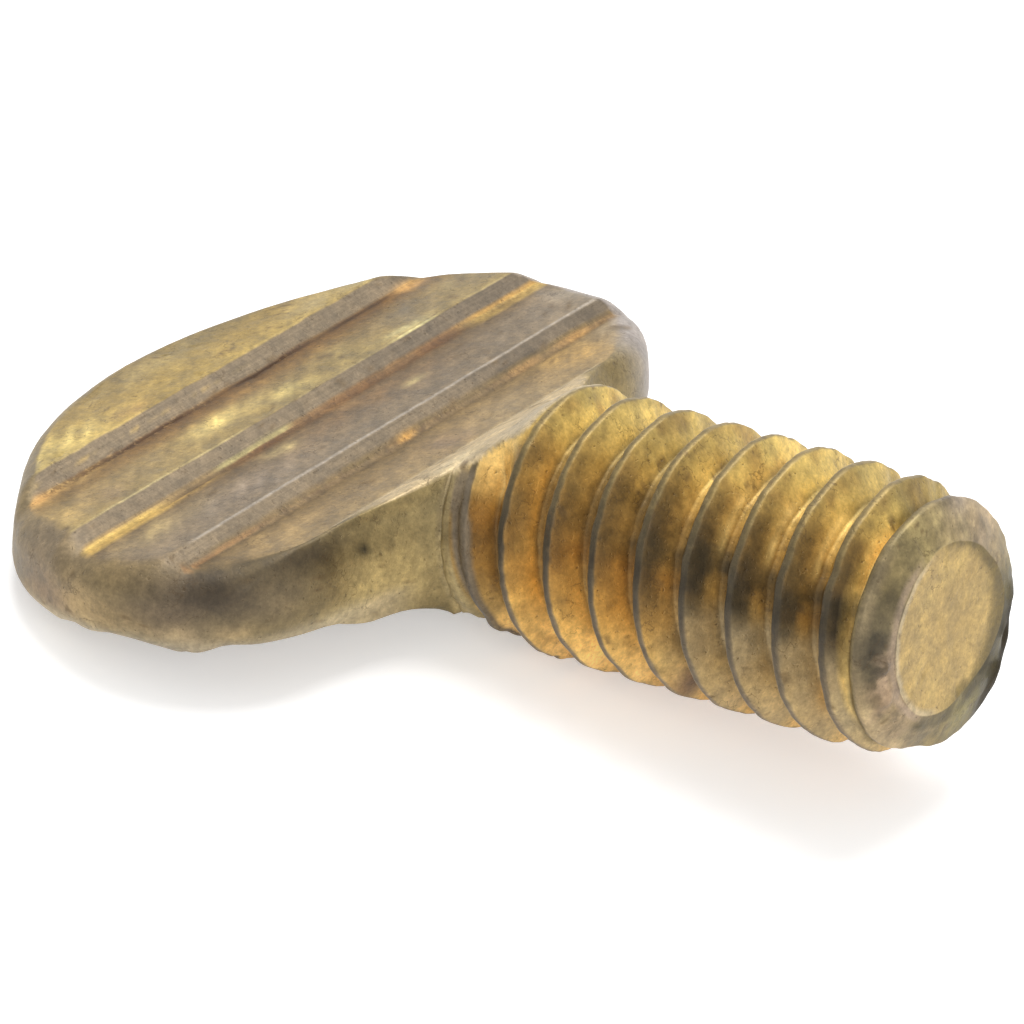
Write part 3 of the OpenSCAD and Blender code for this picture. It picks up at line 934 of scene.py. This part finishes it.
def paint(v, region, inward, n):
    """For every vertex: its colour as it shows on a screen, 0 to 255, how much it is scored along
    the head, and how much grit lies on it."""
    x, y, z = v.T
    p = v + 0.10 * np.stack([noise(v, 0.7, 301), noise(v, 0.9, 302), noise(v, 0.7, 303)], 1)
    # Slanting brush-like streaks on the faces, and strokes across the thread
    grain = np.stack([-0.6 * x + 0.8 * y, 0.8 * x + 0.6 * y, z], 1)
    streak = fractal(grain, (3.0, 0.7, 2.0), 310, 3)
    stroke = fractal(grain, (1.2, 0.22, 1.0), 312, 2)
    mottle = fractal(v, 1.3, 320, 3)

    # Side wall and neck: tan and taupe, with a pale grey far end, partly its own colour and partly
    # a painted sheen on its rounded end
    c = by_value(x + 0.4 * mottle, WALL_PLACES, WALL_TONES)
    c = lit(c, 0.14 * mottle + 0.07 * fractal(v, 0.4, 330, 2))
    for at, reach, colour, strength in WALL_PATCHES:
        c = lerp(c, colour, blob(p, at, reach) * strength)
    c = lerp(c, (206, 190, 162), before(z, -0.5, 0.45) * before(y, -3.0, 1.0) * 0.5)
    # The pale grey end is partly its colour and partly painted sheen
    c = lerp(c, (158, 148, 140), past(y, 5.2, 2.2) * past(x, -6.0, 1.5))

    on_face = past(inward + 0.10 * noise(v, 0.3, 347), 0.72, 0.2) * (region == HEAD)
    c = lerp(c, face_tones(v, p, streak, stroke, mottle), on_face)

    # The ramps beside the head: pale, with slanting streaks and a light near edge
    slant = np.stack([x * 0.5 + y, (x - y * 0.5) * 0.25, z * 0], 1)
    rubbed = fractal(slant, (0.22, 1.4, 1.0), 351, 3)
    on_neck = (region == NECK) * past(n[:, 2], 0.30, 0.25) * ease((4.6 - np.abs(y) - 0.9 * x) / 0.5)
    cut = ramp_r(x, np.arctan2(z, y)) - np.hypot(y, z)
    on_thread = (region == THREAD) * (x < 2.95) * (z > 0) * before(cut, 0.09, 0.05)
    ramp = on_neck + on_thread
    pale = coats(
        (192, 170, 130),
        ((154, 134, 98), ease(0.3 + 1.4 * rubbed) * 0.8),
        ((176, 160, 130), past(x, 1.5, 1.0) * 0.7),
        ((206, 188, 150), blob(v, (1.1, -1.9, 2.0), (0.5, 0.7, 0.9)) * 0.8),
    )
    c = lerp(c, pale, ramp)

    thread = ((region == THREAD) | ((region == NECK) & (x > 1.2))) * (1 - ramp)
    c = lerp(c, thread_tones(v, p[:, 0], stroke, mottle), thread)
    c = np.where((region >= RIM)[:, None], tip_tones(v, p, region, mottle), c)

    specks = ease((noise(v, 0.13, 391) * 0.6 + noise(v, 0.5, 392) * 0.6 - 0.62) / 0.12)
    c = lerp(c, (92, 72, 44), specks * 0.5)
    scored = on_face * (0.35 + 0.65 * sum(band(x, lo, hi, 0.1) for lo, hi in SCORED))
    grit = band(x, -7.50, -7.24, 0.12) * ease((7.2 - np.abs(y)) / 1.0)
    grit = grit + band(x, -4.72, -4.50, 0.12) * 0.45 * past(y, -4.0, 1.5)
    grit = grit + band(x, -2.02, -1.78, 0.12) * 0.5
    grit = np.clip(grit * ease(0.6 + 1.3 * noise(v, (9.0, 1.3, 9.0), 348)), 0, 1) * on_face
    return c, np.clip(scored, 0, 1), grit


# ======== the piece

def from_axes(x, y, z, at):
    """The matrix that has these three axes and this place as its columns."""
    return Matrix((
        (x.x, y.x, z.x, at.x),
        (x.y, y.y, z.y, at.y),
        (x.z, y.z, z.z, at.z),
        (0, 0, 0, 1),
    ))


def put(name, data):
    """A new object in the scene."""
    made = bpy.data.objects.new(name, data)
    bpy.context.scene.collection.objects.link(made)
    return made


def srgb(colour):
    """Colours as they show on a screen, 0 to 255, in the linear values that Blender takes."""
    c = np.array(colour, float) / 255
    return np.where(c <= 0.04045, c / 12.92, ((c + 0.055) / 1.055) ** 2.4)


mounts = {m["name"]: m for m in frame["record"]["mounts"]}
axis = Vector(mounts["tip_face"]["axis"]).normalized()
tip_at = Vector(mounts["tip_face"]["pos_m"])
across = Vector((0, 1, 0))
face_up = axis.cross(across).normalized()
lay = from_axes(axis, across, face_up, tip_at - axis * (SHANK_LEN * MM))

verts, faces, region, inward = build()
tri = triangles(faces)
verts = shape_up(verts, tri)
tone, scored, grit = paint(verts, region, inward, vertex_normals(verts, tri))
m = np.array(lay)
placed = (verts * MM) @ m[:3, :3].T + m[:3, 3]
mesh = bpy.data.meshes.new("thumb_screw_body")
mesh.from_pydata(placed.tolist(), [], faces)
mesh.update()
mesh.polygons.foreach_set("use_smooth", [True] * len(mesh.polygons))
screw = put("thumb_screw_body", mesh)
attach(screw, "root")
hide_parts("thumb_screw")

rgba = np.column_stack([srgb(np.clip(tone, 0, 255)), scored])
mesh.color_attributes.new("tone", "FLOAT_COLOR", "POINT").data.foreach_set("color", rgba.ravel())
mesh.attributes.new("grit", "FLOAT", "POINT").data.foreach_set("value", grit)

# ======== materials

def feed(tree, socket, value):
    """Sets an input to a value, or links it to another node's output."""
    if isinstance(value, bpy.types.NodeSocket):
        tree.links.new(value, socket)
    else:
        socket.default_value = value


def node(tree, kind, inputs=(), **settings):
    """A new node with its settings, and its inputs by name or number."""
    made = tree.nodes.new(kind)
    for key, value in settings.items():
        setattr(made, key, value)
    for key, value in dict(inputs).items():
        feed(tree, made.inputs[key], value)
    return made


def maths(tree, operation, a, b):
    return node(tree, "ShaderNodeMath", {0: a, 1: b}, operation=operation).outputs[0]


def remap(tree, source, lo, hi, a, b):
    """A value that goes from a to b while its source goes from lo to hi."""
    inputs = {"Value": source, "From Min": lo, "From Max": hi, "To Min": a, "To Max": b}
    return node(tree, "ShaderNodeMapRange", inputs).outputs["Result"]


def material(name):
    made = bpy.data.materials.new(name)
    made.use_nodes = True
    return made, made.node_tree, made.node_tree.nodes["Principled BSDF"]


brass, nt, bsdf = material("aged_brass")
coord = node(nt, "ShaderNodeTexCoord").outputs["Object"]


def noise_at(where, detail, rough=0.5):
    inputs = {"Vector": where.outputs[0], "Scale": 1.0, "Detail": detail, "Roughness": rough}
    return node(nt, "ShaderNodeTexNoise", inputs).outputs["Fac"]


def grain_node(scale, detail, rough=0.5, stretch=(1, 1, 1)):
    """Noise in the part's own metres; scale is blotches per mm."""
    size = tuple(k * scale / MM for k in stretch)
    return noise_at(node(nt, "ShaderNodeMapping", {"Vector": coord, "Scale": size}), detail, rough)


def stroke_node(across_scale, along_scale, angle):
    """Noise drawn out along one direction of the head's plane; the scales are blotches per mm."""
    size = (MM / along_scale, MM / across_scale, MM / 3.0)
    inputs = {"Vector": coord, "Rotation": (0, 0, angle), "Scale": size}
    return noise_at(node(nt, "ShaderNodeMapping", inputs, vector_type="TEXTURE"), 3.0)


def times(colour, factor):
    """A colour with every channel multiplied by one value."""
    inputs = {"Factor": 1.0, 6: colour, 7: factor}
    return node(nt, "ShaderNodeMix", inputs, data_type="RGBA", blend_type="MULTIPLY").outputs[2]


def towards(colour, target, factor):
    """A colour mixed towards a plain one."""
    inputs = {"Factor": factor, 6: colour, 7: (*srgb(target), 1)}
    return node(nt, "ShaderNodeMix", inputs, data_type="RGBA", blend_type="MIX").outputs[2]


painted = node(nt, "ShaderNodeVertexColor", layer_name="tone").outputs
gritty = node(nt, "ShaderNodeAttribute", attribute_name="grit").outputs["Fac"]
fine = grain_node(6.0, 6.0, 0.65)
coarse = grain_node(1.9, 8.0, 0.62)
sharp = grain_node(15.0, 3.0, 0.6)
pits = grain_node(9.0, 2.0)
scores = grain_node(1.0, 4.0, stretch=(16.0, 0.3, 1.0))
crumbs = grain_node(6.5, 5.0, 0.65)
strokes = stroke_node(6.0, 0.9, math.radians(127))

# What varies the painted colour, over which range of it, and the least and most that it leaves
look = painted["Color"]
for source, lo, hi, least, most in (
    (fine, 0.3, 0.7, 0.80, 1.20),
    (coarse, 0.38, 0.62, 0.82, 1.16),
    (sharp, 0.3, 0.7, 0.88, 1.12),
    (strokes, 0.35, 0.65, 0.94, 1.06),
):
    look = times(look, remap(nt, source, lo, hi, least, most))
scoring = maths(nt, "MULTIPLY", remap(nt, scores, 0.35, 0.65, -0.13, 0.13), painted["Alpha"])
look = times(look, maths(nt, "ADD", scoring, 1.0))

# Hairline cracks run along the middle of a coarse noise, in patches
off_line = maths(nt, "ABSOLUTE", maths(nt, "SUBTRACT", grain_node(1.7, 7.0), 0.5), 0.0)
patches = remap(nt, grain_node(0.9, 3.0), 0.50, 0.62, 0, 1)
cracks = maths(nt, "MULTIPLY", remap(nt, off_line, 0, 0.013, 0.6, 0), patches)
dark_crumbs = maths(nt, "MULTIPLY", gritty, remap(nt, crumbs, 0.40, 0.54, 0.6, 0))
pale_crumbs = maths(nt, "MULTIPLY", gritty, remap(nt, crumbs, 0.54, 0.68, 0, 0.5))
look = towards(look, (72, 54, 30), cracks)
look = towards(look, (84, 56, 32), dark_crumbs)
look = towards(look, (184, 146, 96), pale_crumbs)
look = towards(look, (70, 54, 30), remap(nt, pits, 0.68, 0.76, 0, 0.55))

# The darkest painted places are duller and less metallic
painted_grey = node(nt, "ShaderNodeRGBToBW", {0: painted["Color"]}).outputs[0]
matt = remap(nt, painted_grey, 0.015, 0.05, 1, 0)
rough = remap(nt, coarse, 0.3, 0.7, 0.42, 0.60)

relief = remap(nt, fine, 0, 1, 0, 0.6)
relief = maths(nt, "ADD", relief, remap(nt, pits, 0.62, 0.76, 0.6, 0))
relief = maths(nt, "ADD", relief, remap(nt, sharp, 0, 1, 0, 0.25))
bump = node(nt, "ShaderNodeBump", {"Strength": 0.5, "Distance": 0.03 * MM, "Height": relief})
for name, value in (
    ("Base Color", look),
    ("Roughness", maths(nt, "ADD", rough, maths(nt, "MULTIPLY", matt, 0.3))),
    ("Metallic", remap(nt, matt, 0, 1, 0.45, 0.1)),
    ("Specular IOR Level", remap(nt, matt, 0, 1, 0.5, 0.15)),
    ("Normal", bump.outputs["Normal"]),
):
    feed(nt, bsdf.inputs[name], value)
mesh.materials.append(brass)

# ======== stage, lamps and camera

FLOOR_SIZE = 3.0
FLOOR_DROP = 2e-5
FLOOR_LIGHT = 0.4
WORLD_LIGHT = 0.62

# Name, place, size and watts
LAMPS = (
    ("key", (-0.05, 0.10, 0.32), 0.22, 0.85),
    ("fill", (0.25, -0.22, 0.20), 0.20, 0.35),
)
LAMPS_AIM = Vector((0, 0, 0.003))

# The camera in the screw's own frame, in mm
CAMERA_AT = (94.85, -115.82, 73.29)
CAMERA_RIGHT = (0.7925, 0.6076, -0.0530)
CAMERA_UP = (-0.2320, 0.3808, 0.8951)
LENS = 252.2
SENSOR = 36

s = FLOOR_SIZE / 2
floor_mesh = bpy.data.meshes.new("floor")
floor_mesh.from_pydata([(-s, -s, 0), (s, -s, 0), (s, s, 0), (-s, s, 0)], [], [(0, 1, 2, 3)])
floor = put("floor", floor_mesh)
floor.location = (0, 0, min(cad_lo.z, 0.0) - FLOOR_DROP)
floor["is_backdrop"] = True

# The floor glows a little by itself, but only where it is seen or mirrored, not as a lamp
white, floor_nt, floor_bsdf = material("floor_white")
floor_bsdf.inputs["Base Color"].default_value = (0.86, 0.86, 0.86, 1)
floor_bsdf.inputs["Roughness"].default_value = 0.9
floor_bsdf.inputs["Specular IOR Level"].default_value = 0.1
rays = node(floor_nt, "ShaderNodeLightPath").outputs
seen = maths(floor_nt, "MAXIMUM", rays["Is Camera Ray"], rays["Is Glossy Ray"])
strength = maths(floor_nt, "MULTIPLY", seen, FLOOR_LIGHT)
glow = node(floor_nt, "ShaderNodeEmission", {"Color": (1, 1, 1, 1), "Strength": strength})
both = node(floor_nt, "ShaderNodeAddShader", {0: floor_bsdf.outputs[0], 1: glow.outputs[0]})
feed(floor_nt, floor_nt.nodes["Material Output"].inputs["Surface"], both.outputs[0])
floor.data.materials.append(white)

# The backdrop is white where it is seen, and lights the screw a little less
scene = bpy.context.scene
world = bpy.data.worlds.new("studio")
scene.world = world
world.use_nodes = True
world_nt = world.node_tree
backdrop = world_nt.nodes["Background"].inputs
backdrop["Color"].default_value = (1, 1, 1, 1)
rays = node(world_nt, "ShaderNodeLightPath").outputs
seen = maths(world_nt, "MAXIMUM", rays["Is Camera Ray"], rays["Is Transmission Ray"])
seen = maths(world_nt, "MAXIMUM", seen, rays["Is Glossy Ray"])
feed(world_nt, backdrop["Strength"], remap(world_nt, seen, 0, 1, WORLD_LIGHT, 1))

for name, at, size, watts in LAMPS:
    light = bpy.data.lights.new(name, "AREA")
    light.shape = "DISK"
    light.size = size
    light.energy = watts
    lamp = put(name, light)
    lamp.location = at
    lamp.rotation_mode = "QUATERNION"
    lamp.rotation_quaternion = (LAMPS_AIM - Vector(at)).to_track_quat("-Z", "Y")

cam_data = bpy.data.cameras.new("camera")
cam_data.lens = LENS
cam_data.sensor_width = SENSOR
cam_data.clip_start = 0.01
cam_data.clip_end = 10
camera = put("camera", cam_data)
right = (lay.to_3x3() @ Vector(CAMERA_RIGHT)).normalized()
back = right.cross(lay.to_3x3() @ Vector(CAMERA_UP)).normalized()
camera.matrix_world = from_axes(right, back.cross(right), back, lay @ (Vector(CAMERA_AT) * MM))
scene.camera = camera
scene.view_settings.view_transform = "Standard"

lo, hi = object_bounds()
